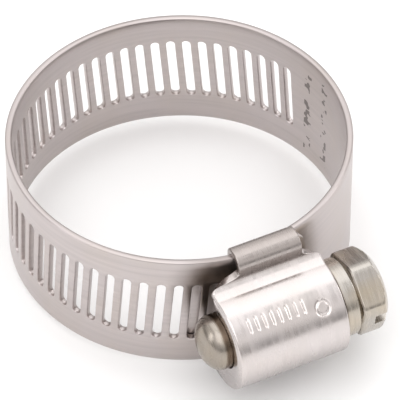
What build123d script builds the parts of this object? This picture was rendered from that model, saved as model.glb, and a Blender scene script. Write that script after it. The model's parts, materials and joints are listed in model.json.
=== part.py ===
from build123d import *
import math
import os

os.makedirs("parts", exist_ok=True)

# Worm-drive hose clamp, shown fully open. Millimetres, +Z along the hose, housing at -Y,
# hexagon head towards +X.

# --- strip ---
strip_width = 12.7
strip_thick = 0.6
bore_r = 14.7
layer_gap = 0.06
inner_out_r = bore_r + strip_thick
tail_in_r = inner_out_r + layer_gap
tail_out_r = tail_in_r + strip_thick
slot_count = 64
slot_pitch_deg = 360 / slot_count
slot_long = 6.9
slot_wide = 0.82
slot_lean_deg = 4.4
fixed_slots = range(-12, 2)      # slots of the fixed half, counted from the back centre line
band_end_deg = -101.0            # end of the fixed strip under the housing
band_lap_deg = 131.0             # where the fixed strip ends behind the tail
tail_start_deg = 92.0
tail_tip_deg = 286.5             # -73.5 degrees, inside the housing

# --- worm screw ---
axis_y = -18.72
worm_pitch = 1.55
worm_major_r = 3.2
worm_root_r = 2.6
thread_from = -3.6
thread_turns = 5.0
head_flats = 6.9
head_long = 2.8
head_end_x = 6.8 + head_long
collar_r = 3.58
journal_r = 2.5
head_turn_deg = 37.4              # corners of the hexagon, in the screw's own frame
drive_slot_deg = 127.4            # direction of the screwdriver slot, across two flats

# --- housing ---
sheet = 0.7
barrel_in_r = 3.8
barrel_out_r = 4.6
barrel_closed_x = -5.6          # closed end, where the screw's point comes out
barrel_open_x = 5.0
strap_half = 3.3
edge_gap = 0.08
fold_z = strip_width / 2 + edge_gap
seat_y = -(tail_out_r + 0.08)
foot_z = 5.35

# --- saddle ---
saddle_reach_deg = 14.5


def arc_sector(r0, r1, a0, a1):
    """Closed outline of a ring sector from angle a0 to angle a1, anticlockwise."""
    am = (a0 + a1) / 2
    p = lambda r, a: (r * math.cos(math.radians(a)), r * math.sin(math.radians(a)))
    ThreePointArc(p(r0, a0), p(r0, am), p(r0, a1))
    Line(p(r0, a1), p(r1, a1))
    ThreePointArc(p(r1, a1), p(r1, am), p(r1, a0))
    Line(p(r1, a0), p(r0, a0))


def slot_plane(angle):
    """Plane at the outside of the strip whose z axis points out of the ring."""
    a = math.radians(angle)
    return Plane(
        origin=(tail_out_r * math.cos(a), tail_out_r * math.sin(a), 0),
        x_dir=(-math.sin(a), math.cos(a), 0),
        z_dir=(math.cos(a), math.sin(a), 0),
    )


# Fixed half of the strip: blank near the head, perforated towards the back, its end held
# under the housing.
with BuildPart() as band:
    with BuildSketch():
        with BuildLine():
            arc_sector(bore_r, inner_out_r, band_end_deg, band_lap_deg)
        make_face()
    extrude(amount=strip_width / 2, both=True)
    for k in fixed_slots:
        with BuildSketch(slot_plane(90 + k * slot_pitch_deg)):
            SlotOverall(slot_long, slot_wide, rotation=90 - slot_lean_deg)
        extrude(amount=-2.4, mode=Mode.SUBTRACT)
    # notches that take the folded feet of the housing
    with Locations((0, -bore_r, strip_width / 2), (0, -bore_r, -strip_width / 2)):
        Box(2 * strap_half + 0.2, 3.0, 2 * (strip_width / 2 - foot_z + 0.02), mode=Mode.SUBTRACT)
    # the corners of the fixed end are rounded
    fillet(band.edges().filter_by(lambda e: e.length < 0.7 and e.center().X < -2.2 and e.center().Y < -14 and abs(e.center().Z) > 5), 0.9)

# Tail: the rest of the strip, perforated along its whole length, running through the housing.
with BuildPart() as band_tail:
    with BuildSketch():
        with BuildLine():
            arc_sector(tail_in_r, tail_out_r, tail_start_deg, tail_tip_deg)
        make_face()
    extrude(amount=strip_width / 2, both=True)
    for k in range(1, 35):
        with BuildSketch(slot_plane(90 + k * slot_pitch_deg)):
            SlotOverall(slot_long, slot_wide, rotation=90 - slot_lean_deg)
        extrude(amount=-1.4, mode=Mode.SUBTRACT)
    fillet(band_tail.edges().filter_by(lambda e: abs(e.length - strip_thick) < 0.05 and e.center().X > 3 and abs(e.center().Z) > 5), 2.4)

# Saddle: the curved inner plate that carries the housing's feet on to the strip. It lies in
# the strip's own layer and reaches out beyond the housing's closed end.
with BuildPart() as saddle:
    with BuildSketch():
        with BuildLine():
            arc_sector(bore_r, inner_out_r, band_end_deg - saddle_reach_deg, band_end_deg - 3.0)
        make_face()
    extrude(amount=foot_z - 0.05, both=True)
    with BuildSketch():
        with BuildLine():
            arc_sector(bore_r, inner_out_r, band_end_deg - 3.5, band_end_deg)
        make_face()
    extrude(amount=foot_z - 0.05, both=True)
    fillet(saddle.edges().filter_by(lambda e: abs(e.length - strip_thick) < 0.05 and e.center().X < -4.6), 1.0)

# Housing: one pressed sheet. A barrel over the worm, a flange with a hole at its closed end,
# flared sides, and straps folded round both edges of the strip with feet underneath.
with BuildPart() as housing:
    # barrel and flared sides, open towards the strip
    with BuildSketch(Plane(origin=(barrel_closed_x, 0, 0), x_dir=(0, 1, 0), z_dir=(1, 0, 0))):
        with Locations((axis_y, 0)):
            Circle(barrel_out_r)
        with BuildLine():
            Polyline(
                (axis_y - 0.2, barrel_out_r),
                (seat_y - 0.95, barrel_out_r + 0.55),
                (seat_y - 0.25, foot_z + 0.2),
                (seat_y + 0.0, foot_z + 0.2),
                (seat_y + 0.0, -foot_z - 0.2),
                (seat_y - 0.25, -foot_z - 0.2),
                (seat_y - 0.95, -barrel_out_r - 0.55),
                (axis_y - 0.2, -barrel_out_r),
                close=True,
            )
        make_face()
    extrude(amount=barrel_open_x - barrel_closed_x)
    # hollow for the worm and the strip below it
    with BuildSketch(Plane(origin=(barrel_closed_x + 0.75, 0, 0), x_dir=(0, 1, 0), z_dir=(1, 0, 0))):
        with Locations((axis_y, 0)):
            Circle(barrel_in_r)
        with BuildLine():
            Polyline(
                (axis_y, barrel_in_r),
                (seat_y - 0.75, barrel_in_r + 0.35),
                (seat_y + 0.1, barrel_in_r + 1.0),
                (seat_y + 0.1, -barrel_in_r - 1.0),
                (seat_y - 0.75, -barrel_in_r - 0.35),
                (axis_y, -barrel_in_r),
                close=True,
            )
        make_face()
    extrude(amount=20, mode=Mode.SUBTRACT)
    # open towards the strip
    with Locations((0, seat_y + 5, 0)):
        Box(30, 10, 30, mode=Mode.SUBTRACT)
    # the hole in the closed end
    with BuildSketch(Plane(origin=(barrel_closed_x - 1, 0, 0), x_dir=(0, 1, 0), z_dir=(1, 0, 0))):
        with Locations((axis_y, 0)):
            Circle(journal_r + 0.08)
    extrude(amount=4, mode=Mode.SUBTRACT)
    # straps: a folded bar round each edge of the strip, with a foot underneath
    for side in (1, -1):
        with BuildSketch(Plane(origin=(-strap_half, 0, 0), x_dir=(0, 1, 0), z_dir=(1, 0, 0))):
            with BuildLine():
                Polyline(
                    (seat_y - sheet, side * (foot_z - 1.4)),
                    (seat_y - sheet, side * (fold_z + 0.1)),
                    (seat_y - sheet + 0.6, side * (fold_z + sheet)),
                    (-bore_r - 0.35, side * (fold_z + sheet)),
                    (-bore_r + 0.0, side * (fold_z + 0.35)),
                    (-bore_r + 0.0, side * foot_z),
                    (-inner_out_r + 0.02, side * foot_z),
                    (-inner_out_r + 0.02, side * fold_z),
                    (seat_y, side * fold_z),
                    (seat_y, side * (foot_z - 1.4)),
                    close=True,
                )
            make_face()
        extrude(amount=2 * strap_half)
    # keep the hose circle and the path of the strip clear
    with BuildSketch():
        Circle(bore_r + 0.02)
    extrude(amount=20, both=True, mode=Mode.SUBTRACT)
    with BuildSketch():
        Circle(tail_out_r + 0.06)
        Circle(inner_out_r + 0.01, mode=Mode.SUBTRACT)
    extrude(amount=fold_z, both=True, mode=Mode.SUBTRACT)

# Worm screw: journal with a domed point, single-start right-hand thread, collar and slotted
# hexagon head, built along its own axis first.
with BuildPart() as worm:
    with BuildSketch(Plane.XZ):
        with BuildLine():
            Polyline(
                (0, -7.6), (1.3, -7.45), (2.1, -7.0), (2.4, -6.4), (journal_r, -5.9), (journal_r, -4.2),
                (worm_root_r, -4.0), (worm_root_r, 4.75), (collar_r - 0.3, 4.95),
                (collar_r - 0.3, 5.15), (collar_r + 0.0, 5.35), (collar_r + 0.0, 6.7),
                (collar_r - 0.3, 6.9), (0, 6.9), (0, -7.6),
            )
        make_face()
    revolve(axis=Axis.Z)
    with BuildSketch(Plane.XY.offset(6.8)):
        RegularPolygon(head_flats / 2, 6, major_radius=False, rotation=head_turn_deg)
    extrude(amount=head_long)
    # chamfered head: the hexagon's corners are turned off
    with BuildSketch(Plane.XZ) as corner:
        with BuildLine():
            Polyline((2.9, head_end_x + 0.1), (4.6, head_end_x + 0.1), (4.6, head_end_x - 1.0), (2.9, head_end_x + 0.1))
        make_face()
    revolve(axis=Axis.Z, mode=Mode.SUBTRACT)
    # screwdriver slot
    with Locations((0, 0, head_end_x)):
        Box(9, 1.25, 3.0, rotation=(0, 0, drive_slot_deg), mode=Mode.SUBTRACT)
    # thread
    with BuildLine() as lead:
        Helix(pitch=worm_pitch, height=worm_pitch * thread_turns, radius=worm_root_r, center=(0, 0, thread_from))
    with BuildSketch(Plane(origin=lead.line @ 0, x_dir=(1, 0, 0), z_dir=lead.line % 0)) as form:
        with BuildLine():
            Polyline(
                (-0.25, -0.46), (0.0, -0.42), (worm_major_r - worm_root_r, -0.22),
                (worm_major_r - worm_root_r, 0.22), (0.0, 0.42), (-0.25, 0.46), close=True,
            )
        make_face()
    sweep(sections=form.sketch, path=lead.line, is_frenet=True)

thread_phase = thread_from / worm_pitch * 360.0
with BuildPart(Plane(origin=(0, axis_y, 0), x_dir=(0, 1, 0), z_dir=(1, 0, 0))) as screw:
    with Locations(Location((0, 0, 0), (0, 0, thread_phase))):
        add(worm.part)

band.part.label = "band"
band_tail.part.label = "band_tail"
saddle.part.label = "saddle"
housing.part.label = "housing"
screw.part.label = "screw"

export_step(band.part, "parts/band.step")
export_step(band_tail.part, "parts/band_tail.step")
export_step(saddle.part, "parts/saddle.step")
export_step(housing.part, "parts/housing.step")
export_step(screw.part, "parts/screw.step")
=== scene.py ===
import json
import math

import bpy
import bmesh
from mathutils import Matrix, Vector


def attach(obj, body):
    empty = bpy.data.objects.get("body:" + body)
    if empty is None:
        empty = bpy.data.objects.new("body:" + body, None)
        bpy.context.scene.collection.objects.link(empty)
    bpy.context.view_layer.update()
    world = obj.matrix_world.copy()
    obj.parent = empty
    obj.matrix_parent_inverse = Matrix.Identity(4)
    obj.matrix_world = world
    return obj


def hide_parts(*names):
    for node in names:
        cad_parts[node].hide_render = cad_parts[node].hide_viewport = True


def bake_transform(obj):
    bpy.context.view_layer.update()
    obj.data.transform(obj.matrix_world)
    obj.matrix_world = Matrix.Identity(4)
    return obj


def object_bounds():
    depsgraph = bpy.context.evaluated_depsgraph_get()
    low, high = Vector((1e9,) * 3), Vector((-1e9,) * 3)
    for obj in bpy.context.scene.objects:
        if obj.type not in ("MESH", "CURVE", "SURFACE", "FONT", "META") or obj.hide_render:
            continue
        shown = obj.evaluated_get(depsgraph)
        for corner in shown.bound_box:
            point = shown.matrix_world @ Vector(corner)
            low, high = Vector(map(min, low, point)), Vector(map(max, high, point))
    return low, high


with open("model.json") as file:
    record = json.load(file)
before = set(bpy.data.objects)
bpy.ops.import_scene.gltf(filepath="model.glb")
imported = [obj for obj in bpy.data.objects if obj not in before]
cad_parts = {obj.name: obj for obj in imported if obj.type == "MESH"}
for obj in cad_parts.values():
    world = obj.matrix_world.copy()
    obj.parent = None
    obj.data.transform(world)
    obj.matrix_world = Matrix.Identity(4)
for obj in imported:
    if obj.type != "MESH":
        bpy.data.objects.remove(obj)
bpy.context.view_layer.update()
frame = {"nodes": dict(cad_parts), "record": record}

MM = 0.001
W = 12.7
T = 0.6
R_FIX = 14.7            # inside of the fixed half
R_TAIL = 15.36          # inside of the tail half
PITCH = 5.625           # degrees from slot to slot
AX_Y = -18.72           # worm axis
rad = math.radians


def smooth(x):
    x = max(0.0, min(1.0, x))
    return x * x * (3 - 2 * x)


def new_object(name, verts, faces, sharp=35):
    me = bpy.data.meshes.new(name)
    bm = bmesh.new()
    vs = [bm.verts.new([c * MM for c in v]) for v in verts]
    for f in faces:
        if len(set(f)) == len(f):
            try:
                bm.faces.new([vs[i] for i in f])
            except ValueError:
                pass
    bmesh.ops.remove_doubles(bm, verts=bm.verts, dist=2e-7)
    bmesh.ops.dissolve_degenerate(bm, dist=1e-7, edges=bm.edges)
    loose = [v for v in bm.verts if not v.link_faces]
    bmesh.ops.delete(bm, geom=loose, context="VERTS")
    bmesh.ops.recalc_face_normals(bm, faces=bm.faces)
    bm.to_mesh(me)
    bm.free()
    for p in me.polygons:
        p.use_smooth = True
    me.set_sharp_from_angle(angle=rad(sharp))
    o = bpy.data.objects.new(name, me)
    bpy.context.scene.collection.objects.link(o)
    return o


# ---------------------------------------------------------------- strip

def radius(a):
    """Inner radius of the strip at angle a (degrees, -101 fixed end ... 286.5 tail tip)."""
    return R_FIX + (R_TAIL - R_FIX) * smooth((a - 62.0) / 104.0)


class Shell:
    """A curved sheet, seen as pairs of outer and inner points that share one flat address."""

    def __init__(self):
        self.v, self.f, self.key = [], [], {}

    def p(self, a, z, depth, rin, thick):
        r = rin + thick - depth
        k = (round(a, 4), round(z, 4), round(depth, 4))
        if k not in self.key:
            self.key[k] = len(self.v)
            self.v.append((r * math.cos(rad(a)), r * math.sin(rad(a)), z))
        return self.key[k]


def strip(name, a0, a1, slots, half=lambda a: W / 2, thick=T, rin=radius, step=1.40625, caps=(True, True)):
    """Strip from angle a0 to a1 with its perforations, rounded edges and broken slot edges."""
    s = Shell()
    E = 3.72
    slot_cells = {round(c, 4) for c in slots}
    lean = math.tan(rad(4.4))

    def row(a, z):
        """Scale z so that the strip's edge follows half(a)."""
        return z * half(a) / (W / 2)

    def pt(a, z, d):
        return s.p(a, row(a, z), d, rin(a), thick)

    edge = [(W / 2 - 0.14, 0.0), (W / 2 - 0.045, 0.045), (W / 2, 0.14), (W / 2, thick - 0.14),
            (W / 2 - 0.045, thick - 0.045), (W / 2 - 0.14, thick)]
    zs_out = [E, 4.6, 5.5, W / 2 - 0.14]
    side_z = [-E, -3.0, -2.0, -1.0, 0.0, 1.0, 2.0, 3.0, E]
    # list of the column angles
    cells = []
    a = a0
    while a < a1 - 1e-6:
        c = round(a + PITCH / 2, 4)
        hit = [x for x in slot_cells if abs(x - c) < 0.02]
        if hit and a + PITCH <= a1 + 1e-3:
            cells.append((a, a + PITCH, True))
            a += PITCH
        else:
            nxt = min([x - PITCH / 2 for x in slot_cells if x - PITCH / 2 > a + 1e-3] + [a1])
            b = min(a + step, nxt)
            if nxt - b < 0.3:
                b = nxt
            cells.append((a, b, False))
            a = b
    n_cap = 8
    for (p, q, slotted) in cells:
        us = [p + (q - p) * i / n_cap for i in range(n_cap + 1)] if slotted else [p, q]
        for i in range(len(us) - 1):
            u, w = us[i], us[i + 1]
            for sgn in (1, -1):
                for j in range(len(zs_out) - 1):
                    za, zb = sgn * zs_out[j], sgn * zs_out[j + 1]
                    for d in (0.0, thick):
                        s.f.append((pt(u, za, d), pt(w, za, d), pt(w, zb, d), pt(u, zb, d)))
                for j in range(len(edge) - 1):
                    (za, da), (zb, db) = edge[j], edge[j + 1]
                    s.f.append((pt(u, sgn * za, da), pt(w, sgn * za, da), pt(w, sgn * zb, db), pt(u, sgn * zb, db)))
        if not slotted:
            for j in range(len(side_z) - 1):
                for d in (0.0, thick):
                    s.f.append((pt(p, side_z[j], d), pt(q, side_z[j], d), pt(q, side_z[j + 1], d), pt(p, side_z[j + 1], d)))
            continue
        c = (p + q) / 2
        # boundary loop: right side going up, top going left, left side going down, bottom going right
        outer = [(q, z) for z in side_z]
        outer += [(us[n_cap - i], E) for i in range(1, n_cap)]
        outer += [(p, z) for z in reversed(side_z)]
        outer += [(us[i], -E) for i in range(1, n_cap)]

        def hole(grow):
            hw = 0.41 + grow
            zc = 3.45 - 0.41
            loop = [(hw, -zc + 2 * zc * i / (len(side_z) - 1)) for i in range(len(side_z))]
            loop += [(hw * math.cos(math.pi * i / n_cap), zc + hw * math.sin(math.pi * i / n_cap)) for i in range(1, n_cap)]
            loop += [(-x, -z) for (x, z) in loop]
            # leaning slot, x positive towards larger angle; from outside the slot leans to the head side at its top
            return [(c + math.degrees((x + lean * z) / (rin(c) + thick / 2)), z) for (x, z) in loop]

        loops = [(outer, 0.0), (hole(0.10), 0.0), (hole(0.025), 0.04), (hole(0.0), 0.12), (hole(0.0), thick - 0.08), (hole(0.05), thick), (outer, thick)]
        n = len(outer)
        for (la, da), (lb, db) in zip(loops, loops[1:]):
            for i in range(n):
                j = (i + 1) % n
                s.f.append((pt(*la[i], da), pt(*la[j], da), pt(*lb[j], db), pt(*lb[i], db)))
    # ends
    for a, on in ((a0, caps[0]), (cells[-1][1], caps[1])):
        if not on:
            continue
        zz = sorted(set([-z for z in zs_out] + side_z + zs_out))
        ring = [pt(a, z, 0.0) for z in zz] + [pt(a, z, d) for z, d in edge[1:-1]] + \
               [pt(a, z, thick) for z in reversed(zz)] + [pt(a, -z, d) for z, d in reversed(edge[1:-1])]
        s.f.append(tuple(ring))
    return new_object(name, s.v, s.f, sharp=40)


slot_angles = [270.0 - PITCH * k for k in range(-2, 45)]


def fixed_half(a):
    """Half width of the fixed part: narrowed by the notches under the housing."""
    if a < -78.5:
        return 5.3
    return W / 2


def tip_half(a):
    if a > 281.5:
        t = (a - 281.5) / 5.0
        return W / 2 - 2.2 * (1 - math.sqrt(max(0.0, 1 - t * t)))
    return W / 2


SEAM1 = 270.0 - PITCH * 36.5
SEAM2 = 270.0 - PITCH * 18.5
fixed = strip("strip_fixed_half", -101.0, SEAM1, [a for a in slot_angles if a < SEAM1], half=fixed_half)
bend = strip("strip_back", SEAM1, SEAM2, [a for a in slot_angles if SEAM1 < a < SEAM2])
tail = strip("strip_tail", SEAM2, 286.5, [a for a in slot_angles if a > SEAM2], half=tip_half)


def saddle_half(a):
    # angles run from -115.5 (free end) to -101
    t = (a + 115.5) / 3.0
    if t < 1:
        return 5.28 - 0.8 * (1 - math.sqrt(max(0.0, 1 - (1 - t) ** 2)))
    return 5.28


saddle = strip("saddle_plate", -115.5, -101.02, [], half=saddle_half, rin=lambda a: R_FIX, step=0.5)

# ---------------------------------------------------------------- housing

SHEET = 0.7


RB = 4.22


def profile():
    """Mid line of the pressed sheet in (y, z), from the upper foot over the barrel to the lower foot."""
    up = [(-15.0, 5.40), (-15.0, 5.9), (-15.0, 6.35)]
    for i in range(1, 5):      # first bend, round the strip's edge
        a = rad(90 * i / 4)
        up.append((-15.0 - 0.38 * (1 - math.cos(a)), 6.38 + 0.38 * math.sin(a)))
    up += [(-15.75, 6.79), (-15.95, 6.79)]
    for i in range(1, 7):      # second bend, rolled over on to the outside
        a = rad(90 * i / 6)
        up.append((-15.95 - 0.82 * math.sin(a), 5.97 + 0.82 * math.cos(a)))
    up += [(-16.77, 5.6), (-16.73, 5.25), (-16.72, 5.02), (-16.80, 4.82), (-17.02, 4.64), (-17.4, 4.46), (-17.85, 4.32)]
    barrel = [(AX_Y - RB * math.cos(rad(a)), RB * math.sin(rad(a))) for a in range(96, -97, -3)]
    return up + barrel + [(y, -z) for (y, z) in reversed(up)]


full = profile()


def resample(pts, step):
    out, acc = [pts[0]], 0.0
    total = sum(math.dist(a, b) for a, b in zip(pts, pts[1:]))
    n = int(total / step)
    d = total / n
    target, run = d, 0.0
    for a, b in zip(pts, pts[1:]):
        L = math.dist(a, b)
        while run + L >= target - 1e-9 and len(out) < n:
            t = (target - run) / L
            out.append((a[0] + (b[0] - a[0]) * t, a[1] + (b[1] - a[1]) * t))
            target += d
        run += L
    out.append(pts[-1])
    return out


full = resample(full, 0.10)
for _ in range(2):
    full = [full[0]] + [((a[0] + 2 * b[0] + c[0]) / 4, (a[1] + 2 * b[1] + c[1]) / 4) for a, b, c in zip(full, full[1:], full[2:])] + [full[-1]]
n_s = len(full)
normals = []
for i, (y, z) in enumerate(full):
    a = full[max(0, i - 1)]
    b = full[min(n_s - 1, i + 1)]
    ty, tz = b[0] - a[0], b[1] - a[1]
    L = math.hypot(ty, tz)
    # outward: away from the worm axis / strip
    ny, nz = tz / L, -ty / L
    normals.append((ny, nz))
if normals[n_s // 2][0] > 0:
    normals = [(-a, -b) for a, b in normals]


def marks(x, s_mm):
    """Depth of the plain stamped pattern on the barrel: a row of equal ticks and one round dimple."""
    d = 0.0
    if -4.4 < x < 1.5:
        k = (x + 4.0) / 0.75
        f = abs(k - round(k)) * 0.75
        d = 0.075 * (1 - smooth((f - 0.04) / 0.10)) * (1 - smooth((abs(s_mm) - 0.50) / 0.12))
    q = math.hypot(x - 2.9, s_mm - 0.6)
    d = max(d, 0.09 * (1 - smooth((abs(q - 0.62) - 0.04) / 0.12)))
    return d


s_pos = [0.0]
for a, b in zip(full, full[1:]):
    s_pos.append(s_pos[-1] + math.dist(a, b))
s_mid = s_pos[-1] / 2
STRAP = 3.3
xs = [-5.0, -4.97, -4.93] + [-4.88 + 9.76 * i / 160 for i in range(161)] + [4.93, 4.97, 5.0]
cols = len(xs)
strap_end = max(i for i, p in enumerate(full[: n_s // 2]) if p[1] > 4.95)
verts, faces = [], []


def x_limit(i):
    """0 on the straps, 1 on the barrel, which is longer, for profile point i."""
    j = min(i, n_s - 1 - i)
    return smooth((j - strap_end + 7) / 14.0)


def surf(i, x, off):
    y, z = full[i]
    ny, nz = normals[i]
    d = off
    if off > 0:
        d -= marks(x, s_pos[i] - s_mid + 4.0)
    return (x, y + ny * d, z + nz * d)


grid_out, grid_in = [], []
H = SHEET / 2
edge_round = [(0.0, 0.0)]
for i in range(n_s):
    f = x_limit(i)
    left, right = 2.85 + (5.6 - 2.85) * f, 3.3 + (5.0 - 3.3) * f
    ro, ri = [], []
    for c in range(cols):
        x = xs[c] / 5.0 * (left if xs[c] < 0 else right)
        inset = 0.0
        end = min(c, cols - 1 - c)
        inset = (0.12, 0.05, 0.015)[end] if end < 3 else 0.0
        verts.append(surf(i, x, H - inset)); ro.append(len(verts) - 1)
        verts.append(surf(i, x, -H + inset * 0.6)); ri.append(len(verts) - 1)
    grid_out.append(ro); grid_in.append(ri)
for i in range(n_s - 1):
    for c in range(cols - 1):
        faces.append((grid_out[i][c], grid_out[i + 1][c], grid_out[i + 1][c + 1], grid_out[i][c + 1]))
        faces.append((grid_in[i][c], grid_in[i][c + 1], grid_in[i + 1][c + 1], grid_in[i + 1][c]))
    for c in (0, cols - 1):
        faces.append((grid_out[i][c], grid_out[i + 1][c], grid_in[i + 1][c], grid_in[i][c]))
for i in (0, n_s - 1):
    for c in range(cols - 1):
        faces.append((grid_out[i][c], grid_out[i][c + 1], grid_in[i][c + 1], grid_in[i][c]))
shell = new_object("housing_shell", verts, faces, sharp=32)

# closed end of the barrel: a dished flange with a rolled rim and a hole for the point of the worm
verts, faces = [], []
j0 = strap_end + 9
ids = list(range(j0, n_s - j0))
rings = [(-5.15, 1.0, 0.0), (-5.40, 0.985, 0.0), (-5.58, 0.93, 0.0), (-5.65, 0.86, 0.0), (-5.65, 0.80, 0.0), (-5.52, 0.5, 1), (-5.50, 0.2, 1), (-5.46, 0.06, 1), (-5.38, 0.0, 1),
         (-5.05, 0.0, 1), (-4.90, 0.02, 1), (-4.85, 0.3, 1), (-4.85, 0.83, 1)]
loops = []
for (x, k, mode) in rings:
    loop = []
    for i in ids:
        y, z = full[i]
        ny, nz = normals[i]
        oy, oz = y + ny * (H - 0.02) - AX_Y, z + nz * (H - 0.02)
        L = math.hypot(oy, oz)
        hole = 2.60
        if mode == 0.0:
            r = L * k
        else:
            r = hole + (L * 0.80 - hole) * k
        loop.append(len(verts))
        verts.append((x, AX_Y + oy / L * r, oz / L * r))
    loops.append(loop)
for la, lb in zip(loops, loops[1:]):
    for i in range(len(ids) - 1):
        faces.append((la[i], la[i + 1], lb[i + 1], lb[i]))
for i in range(len(ids) - 1):      # back of the rim
    faces.append((loops[-1][i], loops[-1][i + 1], loops[0][i + 1], loops[0][i]))
for e in (0, -1):
    faces.append(tuple(l[e] for l in loops))
flange = new_object("housing_flange", verts, faces, sharp=35)

# ---------------------------------------------------------------- worm screw

P = 1.55


def thread_r(x, phi):
    """Radius of the screw at x, phi (phi from +Y towards +Z)."""
    if x > 4.7:
        if x < 4.95:
            return 2.6 + 0.65 * smooth((x - 4.7) / 0.25)
        if x < 5.18:
            return 3.25
        if x < 5.38:
            return 3.25 + 0.33 * smooth((x - 5.18) / 0.2)
        if x < 6.55:
            return 3.58
        return 3.58 - 0.35 * smooth((x - 6.55) / 0.25)
    if x < -4.1:
        if x > -5.9:
            return 2.52
        t = (-5.9 - x) / 1.7
        return 2.52 * math.sqrt(max(0.0, 1 - min(1.0, t) ** 2.3))
    u = (x / P - phi / (2 * math.pi)) % 1.0
    u = min(u, 1 - u) * P
    crest, root = 3.2, 2.6
    h = 1 - smooth((u - 0.2) / 0.26)
    fade = smooth((x + 4.05) / 0.9) * smooth((4.6 - x) / 0.5)
    base = root
    return base + (crest - root) * h * fade


xs2 = []
x = -7.599
while x < -5.6:
    xs2.append(x)
    x += 0.02 + 0.06 * min(1, (x + 7.6) * 1.5)
x = -5.6
while x < 6.87:
    xs2.append(x)
    x += 0.055
xs2.append(6.9)
NP = 96
verts, faces = [], []
for x in xs2:
    for j in range(NP):
        ph = 2 * math.pi * j / NP
        r = thread_r(x, ph)
        verts.append((x, AX_Y + r * math.cos(ph), r * math.sin(ph)))
for i in range(len(xs2) - 1):
    for j in range(NP):
        k = (j + 1) % NP
        faces.append((i * NP + j, i * NP + k, (i + 1) * NP + k, (i + 1) * NP + j))
faces.append(tuple(range(NP)))
faces.append(tuple((len(xs2) - 1) * NP + j for j in range(NP)))
worm = new_object("worm_body", verts, faces, sharp=50)

# hexagon head with turned corners and a screwdriver slot
HEX = 6.9 / 2
ROT = rad(41.3)
verts, faces = [], []
NH = 72


def hex_r(ph, extra=0.0):
    a = (ph - ROT) % (math.pi / 3) - math.pi / 6
    return (HEX + extra) / math.cos(a)


def head_r(ph, x):
    r = min(hex_r(ph), 3.84)
    cone = 2.95 + (9.6 - x) * 1.35 if x > 8.55 else 9
    return min(r, cone)


hx = [6.82, 6.88, 6.96, 7.3, 7.8, 8.3, 8.6, 8.72, 8.85, 8.98, 9.10, 9.22, 9.34, 9.46, 9.54, 9.59, 9.6]
for i, x in enumerate(hx):
    for j in range(NH):
        ph = 2 * math.pi * j / NH
        r = head_r(ph, x)
        if x < 6.96:
            r -= 0.15 * (6.96 - x) / 0.14
        if x > 9.5:
            r -= 0.14 * ((x - 9.5) / 0.1) ** 2
        verts.append((x, AX_Y + r * math.cos(ph), r * math.sin(ph)))
for i in range(len(hx) - 1):
    for j in range(NH):
        k = (j + 1) % NH
        faces.append((i * NH + j, i * NH + k, (i + 1) * NH + k, (i + 1) * NH + j))
faces.append(tuple(range(NH)))
faces.append(tuple((len(hx) - 1) * NH + j for j in range(NH)))
head = new_object("screw_head", verts, faces, sharp=28)
cut = bpy.data.meshes.new("slot_cut")
bm = bmesh.new()
bmesh.ops.create_cube(bm, size=1.0)
SLOT_TILT = rad(101.3)
bmesh.ops.scale(bm, vec=(3.0 * MM, 1.25 * MM, 9 * MM), verts=bm.verts)
bmesh.ops.rotate(bm, cent=(0, 0, 0), matrix=Matrix.Rotation(SLOT_TILT, 3, "X"), verts=bm.verts)
bmesh.ops.translate(bm, vec=(9.6 * MM, AX_Y * MM, 0), verts=bm.verts)
bm.to_mesh(cut)
bm.free()
cutter = bpy.data.objects.new("slot_cutter", cut)
bpy.context.scene.collection.objects.link(cutter)
m = head.modifiers.new("slot", "BOOLEAN")
m.operation = "DIFFERENCE"
m.solver = "EXACT"
m.object = cutter
bpy.context.view_layer.update()
dg = bpy.context.evaluated_depsgraph_get()
me = bpy.data.meshes.new_from_object(head.evaluated_get(dg))
head.modifiers.clear()
head.data = me
bpy.data.objects.remove(cutter)
for p in head.data.polygons:
    p.use_smooth = True
head.data.set_sharp_from_angle(angle=rad(28))
bv = head.modifiers.new("edge", "BEVEL")
bv.width = 0.07 * MM
bv.segments = 2
bv.limit_method = "ANGLE"
bv.angle_limit = rad(40)

# ---------------------------------------------------------------- bodies

body_of_node = {n: b for b, ns in frame["record"]["behaviour"]["bodies"].items() for n in ns}
ROOT, TAIL, SCREW = body_of_node["band"], body_of_node["band_tail"], body_of_node["screw"]
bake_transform(bend)
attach(fixed, ROOT)
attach(saddle, ROOT)
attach(shell, ROOT)
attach(flange, ROOT)
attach(tail, TAIL)
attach(worm, SCREW)
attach(head, SCREW)
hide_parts("band")
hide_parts("band_tail")
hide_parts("saddle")
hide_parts("housing")
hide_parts("screw")

# ---------------------------------------------------------------- materials


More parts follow.
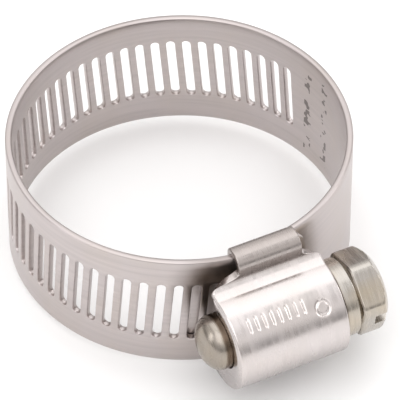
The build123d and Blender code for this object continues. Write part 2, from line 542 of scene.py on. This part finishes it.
def steel(name, base, rough, grain=(1, 1, 1), grain_amount=0.10, warm=(0.5, 0.42, 0.33), warm_amount=0.15, bump=0.04, edge=0.5, marks=False, aniso=0.0, rings=(), strap_shade=None):
    mat = bpy.data.materials.new(name)
    mat.use_nodes = True
    nt = mat.node_tree
    N, L = nt.nodes, nt.links
    bsdf = N["Principled BSDF"]
    bsdf.inputs["Metallic"].default_value = 1.0
    bsdf.inputs["Anisotropic"].default_value = aniso
    co = N.new("ShaderNodeTexCoord")
    mp = N.new("ShaderNodeMapping")
    mp.inputs["Scale"].default_value = grain
    L.new(co.outputs["Object"], mp.inputs["Vector"])
    fine = N.new("ShaderNodeTexNoise")
    fine.inputs["Scale"].default_value = 900.0
    fine.inputs["Detail"].default_value = 5.0
    L.new(mp.outputs["Vector"], fine.inputs["Vector"])
    cloud = N.new("ShaderNodeTexNoise")
    cloud.inputs["Scale"].default_value = 230.0
    cloud.inputs["Detail"].default_value = 3.0
    L.new(co.outputs["Object"], cloud.inputs["Vector"])
    speck = N.new("ShaderNodeTexNoise")
    speck.inputs["Scale"].default_value = 1500.0
    L.new(co.outputs["Object"], speck.inputs["Vector"])
    # colour: base, warmed in clouds, streaked by the grain, paler on worn edges
    ramp = N.new("ShaderNodeMapRange")
    ramp.inputs["From Min"].default_value = 0.42
    ramp.inputs["From Max"].default_value = 0.70
    ramp.inputs["To Max"].default_value = warm_amount
    L.new(cloud.outputs["Fac"], ramp.inputs["Value"])
    mix = N.new("ShaderNodeMix")
    mix.data_type = "RGBA"
    mix.inputs[6].default_value = (*base, 1)
    mix.inputs[7].default_value = (*warm, 1)
    L.new(ramp.outputs["Result"], mix.inputs[0])
    streak = N.new("ShaderNodeMapRange")
    streak.inputs["From Min"].default_value = 0.3
    streak.inputs["From Max"].default_value = 0.7
    streak.inputs["To Min"].default_value = 1.0 - grain_amount
    streak.inputs["To Max"].default_value = 1.0 + grain_amount * 0.6
    L.new(fine.outputs["Fac"], streak.inputs["Value"])
    hsv = N.new("ShaderNodeHueSaturation")
    L.new(mix.outputs[2], hsv.inputs["Color"])
    L.new(streak.outputs["Result"], hsv.inputs["Value"])
    bevel = N.new("ShaderNodeBevel")
    bevel.samples = 4
    bevel.inputs["Radius"].default_value = 0.00009
    geo = N.new("ShaderNodeNewGeometry")
    dot = N.new("ShaderNodeVectorMath")
    dot.operation = "DOT_PRODUCT"
    L.new(bevel.outputs["Normal"], dot.inputs[0])
    L.new(geo.outputs["Normal"], dot.inputs[1])
    worn = N.new("ShaderNodeMapRange")
    worn.inputs["From Min"].default_value = 0.995
    worn.inputs["From Max"].default_value = 0.90
    worn.inputs["To Max"].default_value = edge
    L.new(dot.outputs["Value"], worn.inputs["Value"])
    mix2 = N.new("ShaderNodeMix")
    mix2.data_type = "RGBA"
    mix2.inputs[7].default_value = (0.86, 0.84, 0.82, 1)
    mix2.inputs[0].default_value = 0.0
    if edge > 0:
        L.new(worn.outputs["Result"], mix2.inputs[0])
    L.new(hsv.outputs["Color"], mix2.inputs[6])
    out_color = mix2.outputs[2]
    if marks:
        # painted shade: the outer side of the strip is painted darker near the housing, where the barrel and straps
        # shade it
        near = N.new("ShaderNodeVectorMath")
        near.operation = "DISTANCE"
        L.new(co.outputs["Object"], near.inputs[0])
        near.inputs[1].default_value = (-0.0042, -0.0160, 0.0030)
        housing_shade_ramp = N.new("ShaderNodeMapRange")
        housing_shade_ramp.interpolation_type = "SMOOTHSTEP"
        housing_shade_ramp.inputs["From Min"].default_value = 0.0052
        housing_shade_ramp.inputs["From Max"].default_value = 0.0016
        housing_shade_ramp.inputs["To Max"].default_value = 0.82
        L.new(near.outputs["Value"], housing_shade_ramp.inputs["Value"])
        flat = N.new("ShaderNodeVectorMath")
        flat.operation = "MULTIPLY"
        flat.inputs[1].default_value = (1, 1, 0)
        L.new(co.outputs["Object"], flat.inputs[0])
        length = N.new("ShaderNodeVectorMath")
        length.operation = "LENGTH"
        L.new(flat.outputs["Vector"], length.inputs[0])
        outer_side = N.new("ShaderNodeMath")
        outer_side.operation = "GREATER_THAN"
        outer_side.inputs[1].default_value = 0.0156
        L.new(length.outputs["Value"], outer_side.inputs[0])
        housing_shade_fac = N.new("ShaderNodeMath")
        housing_shade_fac.operation = "MULTIPLY"
        L.new(housing_shade_ramp.outputs["Result"], housing_shade_fac.inputs[0])
        L.new(outer_side.outputs[0], housing_shade_fac.inputs[1])
        housing_shade_mix = N.new("ShaderNodeMix")
        housing_shade_mix.data_type = "RGBA"
        housing_shade_mix.inputs[7].default_value = (0.13, 0.095, 0.075, 1)
        L.new(housing_shade_fac.outputs[0], housing_shade_mix.inputs[0])
        L.new(out_color, housing_shade_mix.inputs[6])
        out_color = housing_shade_mix.outputs[2]
        # plain worn specks and dashes printed on the blank part of the strip
        sep = N.new("ShaderNodeSeparateXYZ")
        L.new(co.outputs["Object"], sep.inputs["Vector"])

        def mth(op, *ins):
            n = N.new("ShaderNodeMath")
            n.operation = op
            for i, v in enumerate(ins):
                if isinstance(v, (int, float)):
                    n.inputs[i].default_value = v
                else:
                    L.new(v, n.inputs[i])
            return n.outputs[0]

        ang = mth("MULTIPLY", mth("ARCTAN2", sep.outputs["Y"], sep.outputs["X"]), 180 / math.pi)
        cols_mask = mth("MAXIMUM", mth("LESS_THAN", mth("ABSOLUTE", mth("SUBTRACT", ang, 12.6)), 1.9),
                        mth("LESS_THAN", mth("ABSOLUTE", mth("SUBTRACT", ang, 2.6)), 1.9))
        spread = N.new("ShaderNodeTexNoise")
        spread.inputs["Scale"].default_value = 1150.0
        spread.inputs["Detail"].default_value = 1.0
        mp2 = N.new("ShaderNodeMapping")
        mp2.inputs["Scale"].default_value = (0.9, 0.9, 1.3)
        L.new(co.outputs["Object"], mp2.inputs["Vector"])
        L.new(mp2.outputs["Vector"], spread.inputs["Vector"])
        dots = mth("GREATER_THAN", spread.outputs["Fac"], 0.60)
        inner = mth("LESS_THAN", mth("SQRT", mth("ADD", mth("MULTIPLY", sep.outputs["X"], sep.outputs["X"]), mth("MULTIPLY", sep.outputs["Y"], sep.outputs["Y"]))), 0.01485)
        inside_z = mth("LESS_THAN", mth("ABSOLUTE", sep.outputs["Z"]), 0.0052)
        stamp = mth("MULTIPLY", mth("MULTIPLY", cols_mask, dots), mth("MULTIPLY", mth("MULTIPLY", inner, inside_z), 0.75))
        mix3 = N.new("ShaderNodeMix")
        mix3.data_type = "RGBA"
        mix3.inputs[7].default_value = (0.10, 0.085, 0.08, 1)
        L.new(stamp, mix3.inputs[0])
        L.new(out_color, mix3.inputs[6])
        out_color = mix3.outputs[2]
    if rings:
        sepx = N.new("ShaderNodeSeparateXYZ")
        L.new(co.outputs["Object"], sepx.inputs["Vector"])
        for where, wide, most in rings:
            off = N.new("ShaderNodeMath")
            off.operation = "SUBTRACT"
            off.inputs[1].default_value = where
            L.new(sepx.outputs["X"], off.inputs[0])
            absn = N.new("ShaderNodeMath")
            absn.operation = "ABSOLUTE"
            L.new(off.outputs[0], absn.inputs[0])
            band_n = N.new("ShaderNodeMapRange")
            band_n.interpolation_type = "SMOOTHSTEP"
            band_n.inputs["From Min"].default_value = wide
            band_n.inputs["From Max"].default_value = wide * 0.4
            band_n.inputs["To Max"].default_value = most
            L.new(absn.outputs[0], band_n.inputs["Value"])
            mixr = N.new("ShaderNodeMix")
            mixr.data_type = "RGBA"
            mixr.inputs[7].default_value = (0.14, 0.095, 0.06, 1)
            L.new(band_n.outputs["Result"], mixr.inputs[0])
            L.new(out_color, mixr.inputs[6])
            out_color = mixr.outputs[2]
    if strap_shade:
        # painted shade: the folded straps are painted darker than the barrel, as if less lit
        sepz = N.new("ShaderNodeSeparateXYZ")
        L.new(co.outputs["Object"], sepz.inputs["Vector"])
        absz = N.new("ShaderNodeMath")
        absz.operation = "ABSOLUTE"
        L.new(sepz.outputs["Z"], absz.inputs[0])
        fade = N.new("ShaderNodeMapRange")
        fade.interpolation_type = "SMOOTHSTEP"
        fade.inputs["From Min"].default_value = 0.0044
        fade.inputs["From Max"].default_value = 0.0058
        L.new(absz.outputs[0], fade.inputs["Value"])
        strap_shade_mix = N.new("ShaderNodeMix")
        strap_shade_mix.data_type = "RGBA"
        strap_shade_mix.inputs[7].default_value = (*strap_shade, 1)
        L.new(fade.outputs["Result"], strap_shade_mix.inputs[0])
        L.new(out_color, strap_shade_mix.inputs[6])
        # painted shade: the barrel is painted darker towards its lower side
        low = N.new("ShaderNodeMapRange")
        low.interpolation_type = "SMOOTHSTEP"
        low.inputs["From Min"].default_value = 0.0008
        low.inputs["From Max"].default_value = -0.0032
        low.inputs["To Max"].default_value = 0.85
        L.new(sepz.outputs["Z"], low.inputs["Value"])
        lower_shade_mix = N.new("ShaderNodeMix")
        lower_shade_mix.data_type = "RGBA"
        lower_shade_mix.inputs[7].default_value = (0.43, 0.395, 0.39, 1)
        L.new(low.outputs["Result"], lower_shade_mix.inputs[0])
        L.new(strap_shade_mix.outputs[2], lower_shade_mix.inputs[6])
        out_color = lower_shade_mix.outputs[2]
    L.new(out_color, bsdf.inputs["Base Color"])
    # roughness
    rr = N.new("ShaderNodeMapRange")
    rr.inputs["From Min"].default_value = 0.3
    rr.inputs["From Max"].default_value = 0.7
    rr.inputs["To Min"].default_value = rough - 0.06
    rr.inputs["To Max"].default_value = rough + 0.10
    L.new(fine.outputs["Fac"], rr.inputs["Value"])
    L.new(rr.outputs["Result"], bsdf.inputs["Roughness"])
    bp = N.new("ShaderNodeBump")
    bp.inputs["Strength"].default_value = 0.35
    bp.inputs["Distance"].default_value = bump * MM * 0.1
    add = N.new("ShaderNodeMath")
    add.operation = "ADD"
    L.new(fine.outputs["Fac"], add.inputs[0])
    L.new(speck.outputs["Fac"], add.inputs[1])
    L.new(add.outputs["Value"], bp.inputs["Height"])
    L.new(bp.outputs["Normal"], bsdf.inputs["Normal"])
    return mat


# marks=True also paints shade on the strip's outer side near the housing
strip_mat = steel("strip_steel_look", (0.535, 0.487, 0.480), 0.34, grain=(0.12, 0.12, 3.0), grain_amount=0.10, aniso=0.3, bump=0.05, edge=0.0, marks=True)
housing_mat = steel("housing_steel_look", (0.64, 0.595, 0.585), 0.235, grain=(2.2, 0.3, 0.3), grain_amount=0.05, bump=0.03, strap_shade=(0.41, 0.37, 0.352))
screw_mat = steel("screw_steel_look", (0.48, 0.45, 0.415), 0.24, grain=(4.0, 0.3, 0.3), grain_amount=0.10, warm=(0.52, 0.43, 0.30), warm_amount=0.55, bump=0.04, rings=((0.00505, 0.0005, 0.8), (-0.0056, 0.0006, 0.8), (-0.0080, 0.0034, 0.40)))
for o in (fixed, bend, tail, saddle):
    o.data.materials.clear(); o.data.materials.append(strip_mat)
for o in (shell, flange):
    o.data.materials.clear(); o.data.materials.append(housing_mat)
for o in (worm, head):
    o.data.materials.clear(); o.data.materials.append(screw_mat)
for n, o in frame["nodes"].items():
    o.data.materials.clear()
    o.data.materials.append({"housing": housing_mat, "screw": screw_mat}.get(n, strip_mat))

# ---------------------------------------------------------------- stage

lo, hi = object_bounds()
base_z = min(lo[2], -0.00713)
me = bpy.data.meshes.new("floor")
S = 2.5
me.from_pydata([(-S, -S, base_z), (S, -S, base_z), (S, S, base_z), (-S, S, base_z)], [], [(0, 1, 2, 3)])
floor = bpy.data.objects.new("floor", me)
bpy.context.scene.collection.objects.link(floor)
fm = bpy.data.materials.new("floor_pale")
fm.use_nodes = True
fb = fm.node_tree.nodes["Principled BSDF"]
fb.inputs["Base Color"].default_value = (0.93, 0.93, 0.93, 1)
fb.inputs["Roughness"].default_value = 0.9
fb.inputs["Specular IOR Level"].default_value = 0.1
me.materials.append(fm)

world = bpy.data.worlds.new("studio")
bpy.context.scene.world = world
world.use_nodes = True
wn, wl = world.node_tree.nodes, world.node_tree.links
bg = wn["Background"]
tc = wn.new("ShaderNodeTexCoord")
sx = wn.new("ShaderNodeSeparateXYZ")
wl.new(tc.outputs["Generated"], sx.inputs["Vector"])
rampw = wn.new("ShaderNodeValToRGB")
rampw.color_ramp.elements[0].position = 0.0
rampw.color_ramp.elements[0].color = (0.50, 0.48, 0.47, 1)
rampw.color_ramp.elements[1].position = 1.0
rampw.color_ramp.elements[1].color = (1.0, 1.0, 1.0, 1)
for pos, v in ((0.12, 0.34), (0.30, 0.60), (0.52, 1.0), (0.75, 0.80)):
    e = rampw.color_ramp.elements.new(pos)
    e.color = (v, v * 0.98, v * 0.97, 1)
wl.new(sx.outputs["Z"], rampw.inputs["Fac"])
wl.new(rampw.outputs["Color"], bg.inputs["Color"])
bg.inputs["Strength"].default_value = 1.12


def area(name, loc, size, power, target=(0, -0.004, 0), color=(1, 1, 1)):
    li = bpy.data.lights.new(name, "AREA")
    li.shape = "RECTANGLE"
    li.size, li.size_y = size
    li.energy = power
    li.color = color
    o = bpy.data.objects.new(name, li)
    o.location = loc
    d = Vector(target) - Vector(loc)
    o.rotation_euler = d.to_track_quat("-Z", "Y").to_euler()
    bpy.context.scene.collection.objects.link(o)
    return o


area("key", (-0.12, -0.22, 0.42), (0.42, 0.42), 0.66)
area("top", (0.05, 0.18, 0.45), (0.60, 0.42), 0.62)
area("side", (0.42, -0.10, 0.22), (0.14, 0.30), 0.30, color=(1, 0.985, 0.97))
area("left", (-0.42, 0.02, 0.20), (0.14, 0.30), 0.24)

# ---------------------------------------------------------------- camera

AZ, EL = rad(26.2), rad(46.4)
D = 0.400
cam_data = bpy.data.cameras.new("camera")
cam_data.sensor_width = 36.0
cam_data.lens = 11.03 * 400 / 400 * 36.0
cam_data.clip_start = 0.01
cam_data.clip_end = 10
cam = bpy.data.objects.new("camera", cam_data)
fwd = Vector((math.sin(AZ) * math.cos(EL), math.cos(AZ) * math.cos(EL), -math.sin(EL)))
right = Vector((math.cos(AZ), -math.sin(AZ), 0))
upv = right.cross(fwd)
cam.location = -fwd * D + right * (1.55 * MM) + upv * (-1.62 * MM)
rot = Matrix((right, upv, -fwd)).transposed()
cam.rotation_euler = rot.to_euler()
bpy.context.scene.collection.objects.link(cam)
bpy.context.scene.camera = cam

sc = bpy.context.scene
sc.view_settings.view_transform = "Standard"
sc.view_settings.look = "None"
sc.view_settings.exposure = 0.0
